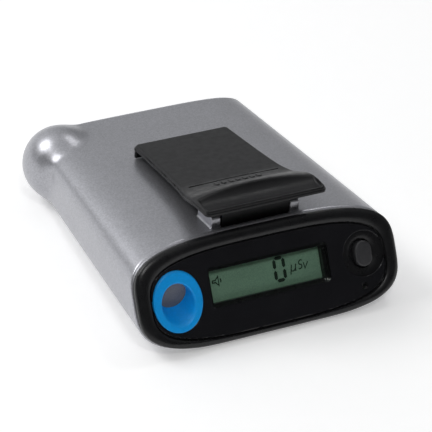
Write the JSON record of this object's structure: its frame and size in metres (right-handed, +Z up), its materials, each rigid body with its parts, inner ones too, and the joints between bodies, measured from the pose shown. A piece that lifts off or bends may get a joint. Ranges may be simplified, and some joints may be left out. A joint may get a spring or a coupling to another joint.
{
  "type": "pocket radiation counter",
  "caption": "Pocket geiger counter with a slanted display face, sounder horn, push button, sprung belt clip and a screw-plugged battery chamber.",
  "frame": {"origin": "centre of the footprint, on the surface that the case rests on", "axes": "+Z up through the belt clip, -Y out of the display face, +X to the right as the display is read"},
  "size_m": [0.067, 0.079, 0.0309],
  "materials": {
    "silver_paint": "fine metallic silver paint",
    "black_plastic": "satin black moulding",
    "black_gloss": "gloss black panel",
    "clip_plastic": "satin dark grey moulding",
    "blue_plastic": "bright blue moulding",
    "clear_plastic": "clear window",
    "lcd": "green-grey reflective display",
    "mesh_grey": "fine grey mesh",
    "rubber": "black seal rubber",
    "zebra_rubber": "layered conductive rubber",
    "circuit_board": "green solder mask",
    "flex_film": "amber flexible circuit",
    "chip_black": "moulded chip package",
    "steel": "plain steel",
    "nickel": "nickel plating",
    "lead_grey": "dull filter metal",
    "bronze": "phosphor bronze",
    "ferrite": "ferrite and tape",
    "capacitor_film": "dipped film capacitor",
    "capacitor_can": "aluminium can",
    "cell_wrap": "printed shrink wrap with no marks",
    "label_film": "blank label film",
    "led_red": "red light-emitting diode"
  },
  "bodies": {
    "case": {"case_shell": "silver_paint", "front_bezel": "black_plastic", "bezel_gasket": "rubber", "face_panel": "black_gloss", "lcd_window": "clear_plastic", "lcd_glass": "lcd", "lcd_holder": "black_plastic", "zebra_strips": "zebra_rubber", "horn_ring": "blue_plastic", "horn_mesh": "mesh_grey", "alarm_sounder": "black_plastic", "button_switch": "steel", "light_pipe": "clear_plastic", "alarm_led": "led_red", "display_board": "circuit_board", "display_screws": "steel", "ribbon_cable": "flex_film", "chassis": "black_plastic", "main_board": "circuit_board", "board_screws": "steel", "logic_chips": "chip_black", "power_capacitors": "capacitor_can", "clock_crystal": "steel", "high_voltage_transformer": "ferrite", "high_voltage_capacitors": "capacitor_film", "detector_tube": "steel", "detector_filter": "lead_grey", "detector_clips": "bronze", "contact_plate": "nickel", "contact_spring": "nickel", "clip_pin": "steel", "clip_spring": "steel", "case_screws": "steel", "blank_label": "label_film"},
    "clip": {"belt_clip": "clip_plastic"},
    "button": {"push_button": "clip_plastic"},
    "cell": {"battery_cell": "cell_wrap"},
    "plug": {"battery_cap": "silver_paint", "cap_contact": "nickel", "cap_seal": "rubber"}
  },
  "joints": [
    {"name": "clip_hinge", "type": "hinge", "parent": "case", "child": "clip", "pos_m": [0, -0.0205, 0.0238], "axis": [1, 0, 0], "range_deg": [0, 20], "stiffness_Nm_per_rad": 0.15, "springref_deg": -14.32, "deforming": ["clip_spring"]},
    {"name": "button_press", "type": "slide", "parent": "case", "child": "button", "axis": [0, 0.866, -0.5], "range_m": [0, 0.0007], "stiffness_N_per_m": 1200, "springref_m": -0.0003},
    {"name": "cell_slide", "type": "slide", "parent": "case", "child": "cell", "axis": [0, 1, 0], "range_m": [0, 0.003], "deforming": ["contact_spring"]},
    {"name": "plug_turn", "type": "hinge", "parent": "cell", "child": "plug", "pos_m": [-0.0232, 0.035, 0.0094], "axis": [0, 1, 0], "range_deg": [0, 720]}
  ],
  "couplings": [
    {"joint": "plug_turn", "follows": "cell_slide", "rad_per_m": 4188.8}
  ]
}
